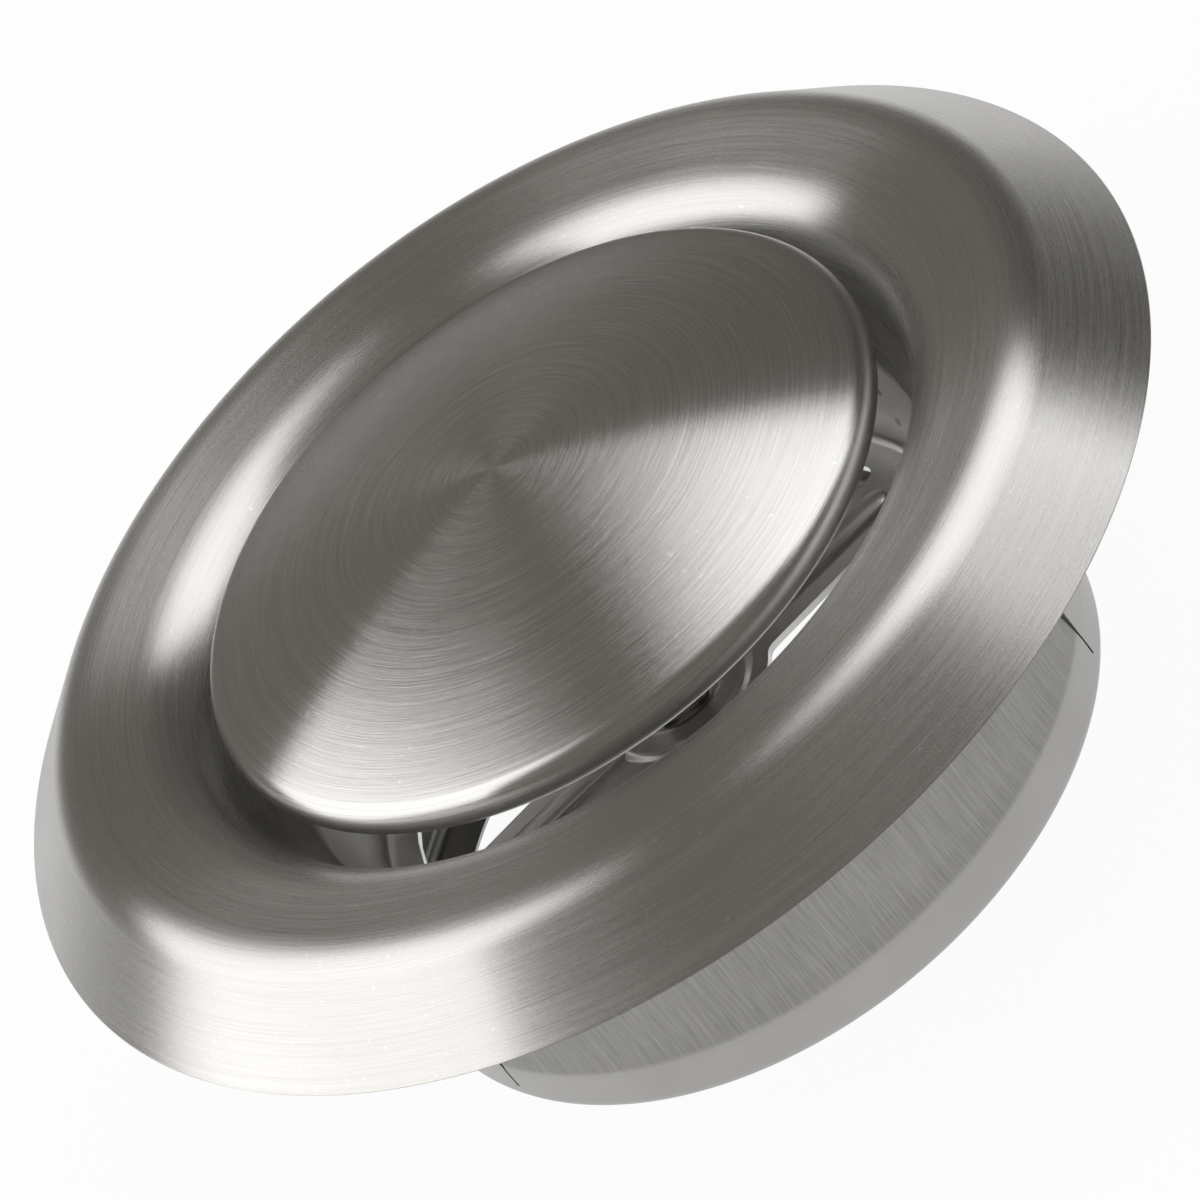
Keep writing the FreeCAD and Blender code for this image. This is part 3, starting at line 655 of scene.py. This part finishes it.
def make_sleeve(steel):
    """The sleeve's wall is turned in eight stretches, so the slits fall beside the two tongues."""
    slope = (MOUTH_CORNER[1] - NECK_TOP) / (MOUTH_CORNER[0] - NECK_RADIUS)
    funnel_wall = RING_SHEET * math.hypot(1.0, 1.0 / slope)
    wall = SLEEVE_RADIUS - SLEEVE_SET_IN
    inner = wall - SLEEVE_SHEET
    seat = MOUTH_CORNER[1] - (MOUTH_CORNER[0] + funnel_wall - inner) * slope
    flare = wall + SLEEVE_FLARE / slope
    bend = END_BEND + SLEEVE_SHEET
    points = [place(x, z) for x, z in (
        (flare, seat + SLEEVE_FLARE), (wall, seat), (wall, TONGUE_TOP), (wall, TONGUE_TOP - TONGUE_JOG),
        (wall, BAND_TOP + BAND_JOG), (SLEEVE_RADIUS, BAND_TOP), (SLEEVE_RADIUS, SLIT_END),
        (SLEEVE_RADIUS, SLEEVE_END + bend))]
    sleeve = start_line("rolled_sleeve", points[0])
    for here, there in zip(points, points[1:]):
        line_to(here, there)
    arc_about(place(SLEEVE_RADIUS - bend, SLEEVE_END + bend), -math.pi / 2)
    line_to(place(SLEEVE_RADIUS - bend, SLEEVE_END), place(END_FLANGE_RADIUS, SLEEVE_END))

    slit = math.degrees(SLIT_WIDTH / SLEEVE_RADIUS)
    tongue = TONGUE_ANGLE - slit
    between = 180.0 - TONGUE_ANGLE - slit
    bpy.ops.mesh.select_all(action="SELECT")
    for angle, steps in [(tongue, TONGUE_STEPS), (slit, 1), (between, WALL_STEPS), (slit, 1)] * 2:
        arc_about(MIDDLE, -math.radians(angle), UPWARDS, steps)
    weld(OUTLINE_WELD_GAP)
    turn_by(math.radians(SLEEVE_TURN - tongue / 2))

    def bearing(point):
        """Degrees from the middle of the nearer tongue."""
        turn = (math.degrees(math.atan2(point.y, point.x)) - SLEEVE_TURN) % 180.0
        return min(turn, 180.0 - turn)

    def in_slit(point):
        return tongue / 2 < bearing(point) < tongue / 2 + slit and SLIT_END < point.z < TONGUE_TOP

    def in_tongue(point):
        return bearing(point) < tongue / 2 and BAND_TOP + BAND_JOG < point.z < TONGUE_TOP - TONGUE_JOG

    select_where(sleeve, "FACE", in_slit)
    bpy.ops.mesh.delete(type="FACE")
    select_where(sleeve, "FACE", in_tongue)
    raised = SLEEVE_RADIUS - TONGUE_SET_IN
    scale_across(raised / wall)
    # Where the wall widens into the band, the tongue's foot is raised to the tongue's own radius
    for share in (FLAT_HOLD / BAND_JOG, 1.0 - FLAT_HOLD / BAND_JOG):
        level = BAND_TOP + BAND_JOG * (1.0 - share)

        def at_foot(point):
            return bearing(point) < tongue / 2 + slit / 2 and abs(point.z - level) < FLAT_HOLD / 2

        select_where(sleeve, "VERT", at_foot)
        scale_across(raised / (wall + SLEEVE_SET_IN * share))
    bpy.ops.mesh.select_all(action="SELECT")
    bpy.ops.mesh.normals_make_consistent(inside=False)
    bpy.ops.object.mode_set(mode="OBJECT")
    outward = sum(face.normal.xy.dot(face.center.xy) * face.area for face in sleeve.data.polygons) > 0
    apply_modifier(sleeve, "SOLIDIFY", thickness=SLEEVE_SHEET * MM, offset=-1.0 if outward else 1.0,
                   use_even_offset=True)
    if not outward:
        bpy.ops.object.mode_set(mode="EDIT")
        mend(0.0)
    finish_piece(sleeve, steel, "valve_body", ["duct_sleeve"], SHEET_SMOOTH_ANGLE)


def window_outline(name, height):
    """The outline of the far window in the cup's floor, drawn flat at a height."""
    def at(x, y):
        return Vector((x, y, height)) * MM

    out_y = ARM_END_HALF + WINDOW_CORNER
    out_x = math.sqrt((WINDOW_RADIUS - WINDOW_CORNER) ** 2 - out_y ** 2)
    out_angle = math.atan2(out_y, out_x)
    corner_sweep = out_angle + math.pi / 2
    hub_y = ARM_ROOT_HALF + HUB_CORNER
    hub_x = math.sqrt((HUB_RADIUS + HUB_CORNER) ** 2 - hub_y ** 2)
    hub_sweep = math.pi / 2 - math.atan2(hub_y, hub_x)

    outline = start_line(name, at(0.0, HUB_RADIUS))
    arc_about(MIDDLE, hub_sweep, UPWARDS)
    arc_about(at(hub_x, hub_y), -hub_sweep, UPWARDS)
    line_to(at(hub_x, ARM_ROOT_HALF), at(ARM_END_REACH, ARM_END_HALF))
    line_to(at(ARM_END_REACH, ARM_END_HALF), at(out_x, ARM_END_HALF))
    arc_about(at(out_x, out_y), -corner_sweep, UPWARDS)
    arc_about(MIDDLE, -(math.pi - 2 * out_angle), UPWARDS)
    arc_about(at(-out_x, out_y), -corner_sweep, UPWARDS)
    line_to(at(-out_x, ARM_END_HALF), at(-ARM_END_REACH, ARM_END_HALF))
    line_to(at(-ARM_END_REACH, ARM_END_HALF), at(-hub_x, ARM_ROOT_HALF))
    arc_about(at(-hub_x, hub_y), -hub_sweep, UPWARDS)
    arc_about(MIDDLE, hub_sweep, UPWARDS)
    return outline


def raise_outline(piece, depth):
    """Close a flat outline into a block of the given depth."""
    weld(OUTLINE_WELD_GAP)
    bpy.ops.mesh.edge_face_add()
    extrude(Vector((0, 0, depth * MM)))
    mend()
    return piece


def slot_block(name, reach, half, low, high):
    """A bar with round ends along the crossbar."""
    def at(x, y):
        return Vector((x, y, low)) * MM

    middle = reach - half
    block = start_line(name, at(-middle, half))
    line_to(at(-middle, half), at(middle, half))
    arc_about(at(middle, 0), math.pi, UPWARDS)
    line_to(at(middle, -half), at(-middle, -half))
    arc_about(at(-middle, 0), math.pi, UPWARDS)
    return raise_outline(block, high - low)


def turned_block(name, corners):
    """A solid turned from a closed section."""
    block = draw_outline(name, corners)
    spin_section(SMALL_STEPS)
    return block


def make_cup(steel):
    """Cup wall, floor ring, crossbar, hub and boss pressed from one sheet."""
    bottom = FLOOR_TOP - BAR_SHEET
    neck = NECK_RADIUS + RING_SHEET
    boss_top = FLOOR_TOP + BOSS_HEIGHT
    face = [(neck, CUP_TOP), (neck, CUP_COLLAR_END), (CUP_FOOT_RADIUS, FLOOR_TOP),
            (BOSS_FOOT_RADIUS, FLOOR_TOP), (BOSS_TOP_RADIUS, boss_top), (HOLE_RADIUS, boss_top)]
    bends = [CUP_COLLAR_BEND, CUP_BEND, BOSS_FOOT_BEND, BOSS_TOP_BEND]
    cup = draw_sheet("pressed_cup", face, bends, BAR_SHEET)
    spin_section()
    for name, turn in (("window_far", 0.0), ("window_near", math.pi)):
        window = raise_outline(window_outline(name, bottom - CUT_SPARE), BAR_SHEET + 2 * CUT_SPARE)
        bpy.ops.object.mode_set(mode="EDIT")
        bpy.ops.mesh.select_all(action="SELECT")
        turn_by(turn)
        bpy.ops.object.mode_set(mode="OBJECT")
        boolean(cup, window)
    rib = slot_block("rib", RIB_REACH, RIB_HALF, bottom + RIB_ROOT, boss_top - RIB_DROP)
    soften_edges(rib, RIB_EDGE)
    boolean(cup, rib, "UNION")
    hollow_half = RIB_HALF - RIB_WALL
    hollow_top = bottom + BOSS_HEIGHT
    boolean(cup, slot_block("rib_hollow", RIB_REACH - RIB_WALL, hollow_half, bottom - CUT_SPARE, hollow_top))
    groove_in = SEAT_GROOVE_RADIUS - SEAT_GROOVE_HALF
    groove_out = SEAT_GROOVE_RADIUS + SEAT_GROOVE_HALF
    groove_floor = boss_top - SEAT_GROOVE_DEPTH
    above = boss_top + CUT_SPARE
    below = bottom - CUT_SPARE
    corners = [(groove_in, groove_floor), (groove_out, groove_floor), (groove_out, above),
               (groove_in, above)]
    boolean(cup, turned_block("seat_groove", corners))
    corners = [(0.0, below), (HOLE_RADIUS, below), (HOLE_RADIUS, above), (0.0, above)]
    boolean(cup, turned_block("stem_hole", corners))
    finish_piece(cup, steel, "valve_body", ["crossbar_cup"], SHEET_SMOOTH_ANGLE)


def make_hex_nut(name, steel, top, turn, body, node):
    """An M8 nut: a hexagon with turned corners and a countersunk bore."""
    deselect()
    corner = NUT_FLATS / math.sqrt(3.0)
    bpy.ops.mesh.primitive_cylinder_add(vertices=6, radius=corner * MM, depth=NUT_HEIGHT * MM)
    nut = bpy.context.object
    nut.name = name
    nut.data.name = name
    bpy.ops.object.mode_set(mode="EDIT")
    bpy.ops.mesh.select_all(action="SELECT")
    bpy.ops.transform.translate(value=(0, 0, (top - NUT_HEIGHT / 2) * MM))
    turn_by(math.radians(turn - HEX_TURN))
    bpy.ops.object.mode_set(mode="OBJECT")
    low = top - NUT_HEIGHT
    flat = NUT_FLATS / 2 - NUT_FACE_INSET
    past = corner + NUT_SPARE
    drop = (past - flat) * math.tan(math.radians(NUT_CHAMFER_ANGLE))
    corners = [(0.0, low), (flat, low), (past, low + drop), (past, top - drop), (flat, top), (0.0, top)]
    boolean(nut, turned_block(name + "_turned", corners), "INTERSECT")
    sink = NUT_BORE + NUT_SINK
    past = sink + NUT_SINK_SPARE
    bore = [(0.0, low - CUT_SPARE), (past, low - CUT_SPARE), (sink, low), (NUT_BORE, low + NUT_SINK),
            (NUT_BORE, top - NUT_SINK), (sink, top), (past, top + CUT_SPARE), (0.0, top + CUT_SPARE)]
    boolean(nut, turned_block(name + "_bore", bore))
    soften_edges(nut, NUT_EDGE, SCREW_SMOOTH_ANGLE)
    finish_piece(nut, steel, body, [node], SCREW_SMOOTH_ANGLE)


def make_washer(steel):
    """The plain washer between the crossbar and its lock nut."""
    bottom = WASHER_TOP - WASHER_HEIGHT
    washer = turned_block("plain_washer", [(HOLE_RADIUS, bottom), (WASHER_RADIUS, bottom),
                                           (WASHER_RADIUS, WASHER_TOP), (HOLE_RADIUS, WASHER_TOP)])
    soften_edges(washer, WASHER_EDGE)
    finish_piece(washer, steel, "locking", ["lock_washer"])


def make_stem(steel):
    """The stem's thread is one turned groove, screwed up its length and cut off flat."""
    low = STEM_END - THREAD_PITCH
    crest = THREAD_PITCH / 8
    root = THREAD_PITCH / 4
    crest_start = low + (THREAD_PITCH - crest - root) / 2
    points = [place(x, z) for x, z in (
        (STEM_CORE, low), (STEM_RADIUS, crest_start), (STEM_RADIUS, crest_start + crest),
        (STEM_CORE, low + THREAD_PITCH - root), (STEM_CORE, low + THREAD_PITCH))]
    stem = start_line("threaded_stem", points[0])
    for here, there in zip(points, points[1:]):
        extrude(there - here)
    bpy.ops.object.mode_set(mode="OBJECT")
    turns = math.ceil((PAN_FLOOR - STEM_END) / THREAD_PITCH) + 2
    apply_modifier(stem, "SCREW", angle=2 * math.pi, screw_offset=THREAD_PITCH * MM, iterations=turns,
                   steps=THREAD_STEPS, render_steps=THREAD_STEPS, axis="Z", use_merge_vertices=True,
                   merge_threshold=THREAD_MERGE_GAP * MM)
    bpy.ops.object.mode_set(mode="EDIT")
    weld(WELD_GAP)
    bpy.ops.mesh.bisect(plane_co=(0, 0, STEM_END * MM), plane_no=UPWARDS, use_fill=True, clear_inner=True)
    bpy.ops.mesh.select_all(action="SELECT")
    bpy.ops.mesh.bisect(plane_co=(0, 0, PAN_FLOOR * MM), plane_no=UPWARDS, use_fill=True, clear_outer=True)
    mend(THREAD_WELD_GAP)
    past = STEM_RADIUS + STEM_SPARE
    above = PAN_FLOOR + CUT_SPARE / 2
    corners = [(0.0, STEM_END), (STEM_RADIUS - STEM_CHAMFER, STEM_END),
               (past, STEM_END + STEM_CHAMFER + STEM_SPARE), (past, above), (0.0, above)]
    boolean(stem, turned_block("stem_end", corners), "INTERSECT")
    finish_piece(stem, steel, "disc", ["stem"], SCREW_SMOOTH_ANGLE)


def make_stem_head(steel):
    """The screw's flat head, a piece of its own on the pan's floor."""
    top = PAN_FLOOR + HEAD_HEIGHT
    corners = [(0.0, PAN_FLOOR), (HEAD_RADIUS, PAN_FLOOR), (HEAD_RADIUS, top), (0.0, top)]
    head = turned_block("stem_head", corners)
    soften_edges(head, HEAD_EDGE)
    finish_piece(head, steel, "disc", [])


def make_disc_back(steel):
    """The dished pan that closes the disc from behind and rests on its lip."""
    seat = LIP_HEIGHT + DISC_SHEET * 2
    face = [(HOLE_RADIUS, PAN_FLOOR), (PAN_FLOOR_RADIUS, PAN_FLOOR), (PAN_RIM - PAN_SEAT, seat),
            (PAN_RIM, seat)]
    pan = draw_sheet("dished_pan", face, [PAN_BEND, PAN_BEND], -DISC_SHEET)
    spin_section()
    soften_edges(pan, PAN_EDGE)
    finish_piece(pan, steel, "disc", ["disc_back"])


def make_disc_front(steel):
    """Dome, rounded edge and lip, down the outside and back up the inside."""
    lean = math.asin((DISC_RADIUS - DISC_EDGE) / (DOME_RADIUS - DISC_EDGE))
    edge_height = DOME_APEX - DOME_RADIUS + (DOME_RADIUS - DISC_EDGE) * math.cos(lean)
    dome_centre = place(0.0, DOME_APEX - DOME_RADIUS)
    edge_centre = place(DISC_RADIUS - DISC_EDGE, edge_height)
    lip_centre = place(DISC_RADIUS - LIP_BEND, LIP_HEIGHT + LIP_BEND)

    def straight_runs(shift):
        """Both ends of the wall and of the lip, on a face that lies a shift inside the outer one."""
        wall = (place(DISC_RADIUS - shift, edge_height), place(DISC_RADIUS - shift, LIP_HEIGHT + LIP_BEND))
        lip = (place(DISC_RADIUS - LIP_BEND, LIP_HEIGHT + shift), place(LIP_RADIUS, LIP_HEIGHT + shift))
        return wall, lip

    disc = start_line("spun_disc", place(0.0, DOME_APEX))
    wall, lip = straight_runs(0.0)
    arc_about(dome_centre, -lean, steps=DOME_STEPS)
    arc_about(edge_centre, -(math.pi / 2 - lean))
    line_to(wall[0], wall[1])
    arc_about(lip_centre, -math.pi / 2)
    line_to(lip[0], lip[1])
    extrude(place(0.0, DISC_SHEET))
    wall, lip = straight_runs(DISC_SHEET)
    line_to(lip[1], lip[0])
    arc_about(lip_centre, math.pi / 2)
    line_to(wall[1], wall[0])
    arc_about(edge_centre, math.pi / 2 - lean)
    arc_about(dome_centre, lean, steps=DOME_STEPS)
    spin_section()
    soften_edges(disc, DISC_CUT_EDGE)
    finish_piece(disc, steel, "disc", ["disc_front"])


# The studio, whose distances are in metres

FLOOR_SIZE = 12.0
FLOOR_DROP = 0.1 * MM
FLOOR_COLOUR = (0.9, 0.9, 0.9, 1.0)
FLOOR_ROUGHNESS = 0.9
FLOOR_GLOW = 0.95

# Light from all round: where it falls off on the way to +X, and its strength before and after
WORLD_COLOUR = (0.19, 0.181, 0.163)
WORLD_FALL = (0.2, 0.9)
WORLD_BRIGHT = 1.05
WORLD_DIM = 0.4


def view_axes():
    """The camera's own right, up and back directions."""
    azimuth = math.radians(VIEW_AZIMUTH)
    elevation = math.radians(VIEW_ELEVATION)
    level = math.cos(elevation)
    back = Vector((level * math.cos(azimuth), level * math.sin(azimuth), math.sin(elevation)))
    right = Vector((-math.sin(azimuth), math.cos(azimuth), 0.0))
    up = back.cross(right)
    roll = math.radians(VIEW_ROLL)
    return right * math.cos(roll) - up * math.sin(roll), right * math.sin(roll) + up * math.cos(roll), back


def turn_to(right, up, back):
    """The rotation that points an object's own axes along the three directions."""
    return Matrix((right, up, back)).transposed().to_4x4()


def add_camera():
    right, up, back = view_axes()
    deselect()
    bpy.ops.object.camera_add()
    camera = bpy.context.object
    camera.name = "studio_camera"
    camera.data.sensor_width = SENSOR_WIDTH
    camera.data.lens = FOCAL_PIXELS / PICTURE_PIXELS * SENSOR_WIDTH
    camera.data.clip_end = CAMERA_REACH
    spot = (Vector(VIEW_TARGET) + back * VIEW_DISTANCE) * MM
    camera.matrix_world = Matrix.Translation(spot) @ turn_to(right, up, back)
    bpy.context.scene.camera = camera


def add_floor():
    """A white floor that shines for the camera and in reflections, and takes light and shadow."""
    deselect()
    bpy.ops.mesh.primitive_plane_add(size=FLOOR_SIZE, location=(0, 0, SLEEVE_END * MM - FLOOR_DROP))
    floor = bpy.context.object
    floor.name = "studio_floor"
    finish = Finish("pale_floor")
    finish.shader.inputs["Base Color"].default_value = FLOOR_COLOUR
    finish.shader.inputs["Roughness"].default_value = FLOOR_ROUGHNESS
    glow = finish.node("ShaderNodeEmission")
    path = finish.node("ShaderNodeLightPath")
    seen = finish.math("MAXIMUM", path.outputs["Is Camera Ray"], path.outputs["Is Glossy Ray"])
    seen = finish.math("MAXIMUM", seen, path.outputs["Is Transmission Ray"])
    mix = finish.node("ShaderNodeMixShader")
    finish.link(finish.times(seen, FLOOR_GLOW), mix.inputs[0])
    finish.link(finish.shader.outputs[0], mix.inputs[1])
    finish.link(glow.outputs[0], mix.inputs[2])
    finish.link(mix.outputs[0], finish.nodes["Material Output"].inputs["Surface"])
    floor.data.materials.append(finish.material)


def add_softbox(name, centre, width, length, power, faces, upright):
    """A large soft lamp, placed and aimed by the camera's own right, up and back."""
    axes = view_axes()

    def seen_from_camera(parts):
        return sum((axis * part for axis, part in zip(axes, parts)), Vector())

    deselect()
    bpy.ops.object.light_add(type="AREA", location=seen_from_camera(centre))
    lamp = bpy.context.object
    lamp.name = name
    lamp.data.shape = "RECTANGLE"
    lamp.data.size = width
    lamp.data.size_y = length
    lamp.data.energy = power
    back = -seen_from_camera(faces).normalized()
    side = seen_from_camera(upright).cross(back).normalized()
    lamp.matrix_world = Matrix.Translation(lamp.location) @ turn_to(side, back.cross(side), back)


def add_world():
    """Faint warm light from all round, falling off towards +X, where the studio is dark."""
    world = bpy.data.worlds.new("studio_world")
    bpy.context.scene.world = world
    world.use_nodes = True
    nodes = world.node_tree.nodes
    links = world.node_tree.links
    parts = nodes.new("ShaderNodeSeparateXYZ")
    links.new(nodes.new("ShaderNodeTexCoord").outputs["Generated"], parts.inputs[0])
    fall = nodes.new("ShaderNodeMapRange")
    links.new(parts.outputs[0], fall.inputs["Value"])
    set_range(fall, *WORLD_FALL, WORLD_BRIGHT, WORLD_DIM)
    scaled = nodes.new("ShaderNodeVectorMath")
    scaled.operation = "SCALE"
    scaled.inputs[0].default_value = WORLD_COLOUR
    links.new(fall.outputs["Result"], scaled.inputs["Scale"])
    links.new(scaled.outputs[0], nodes["Background"].inputs["Color"])


# Every piece in its finish

ring_steel = brushed_steel("ring_brushed_steel", roughness=0.27, anisotropy=0.94, lines=8000.0, depth=0.8,
                           contrast=0.13)
disc_steel = brushed_steel("disc_brushed_steel", roughness=0.21, anisotropy=0.88, lines=9000.0, depth=1.0,
                           contrast=0.16, streaks=2.5)
pan_steel = brushed_steel("pan_sheet_steel", roughness=0.34, anisotropy=0.4, lines=5000.0, depth=0.15,
                          contrast=0.06)
cup_steel = plain_steel("cup_sheet_steel", roughness=0.3, contrast=0.08, brightness=1.2, welds=weld_places())
nut_steel = plain_steel("plated_steel", roughness=0.3, contrast=0.06)

make_valve_ring(ring_steel)
make_gasket(closed_cell_foam())
make_sleeve(sleeve_steel("sleeve_sheet_steel"))
make_cup(cup_steel)
hub_nut_top = FLOOR_TOP + BOSS_HEIGHT + NUT_HEIGHT
lock_nut_top = WASHER_TOP - WASHER_HEIGHT
disc_nut_top = PAN_FLOOR - DISC_SHEET
make_hex_nut("welded_nut", nut_steel, hub_nut_top, NUT_TURN, "valve_body", "hub_nut")
make_hex_nut("lower_nut", nut_steel, lock_nut_top, 0.0, "locking", "lock_nut")
make_hex_nut("upper_nut", nut_steel, disc_nut_top, 0.0, "disc", "disc_nut")
make_washer(nut_steel)
make_stem(nut_steel)
make_stem_head(nut_steel)
make_disc_back(pan_steel)
make_disc_front(disc_steel)

# Camera, floor and light

add_camera()
add_floor()
add_world()
add_softbox("left_softbox", centre=(-1.5, -0.05, 0.32), width=1.75, length=1.9, power=17.5,
            faces=(1.0, 0.0, -0.2), upright=(0.0, 1.0, 0.0))
add_softbox("top_softbox", centre=(-0.05, 1.5, 0.7), width=1.9, length=1.2, power=12.0,
            faces=(0.0, -1.0, 0.0), upright=(0.34, 0.0, -0.94))
bpy.context.scene.view_settings.view_transform = "Standard"
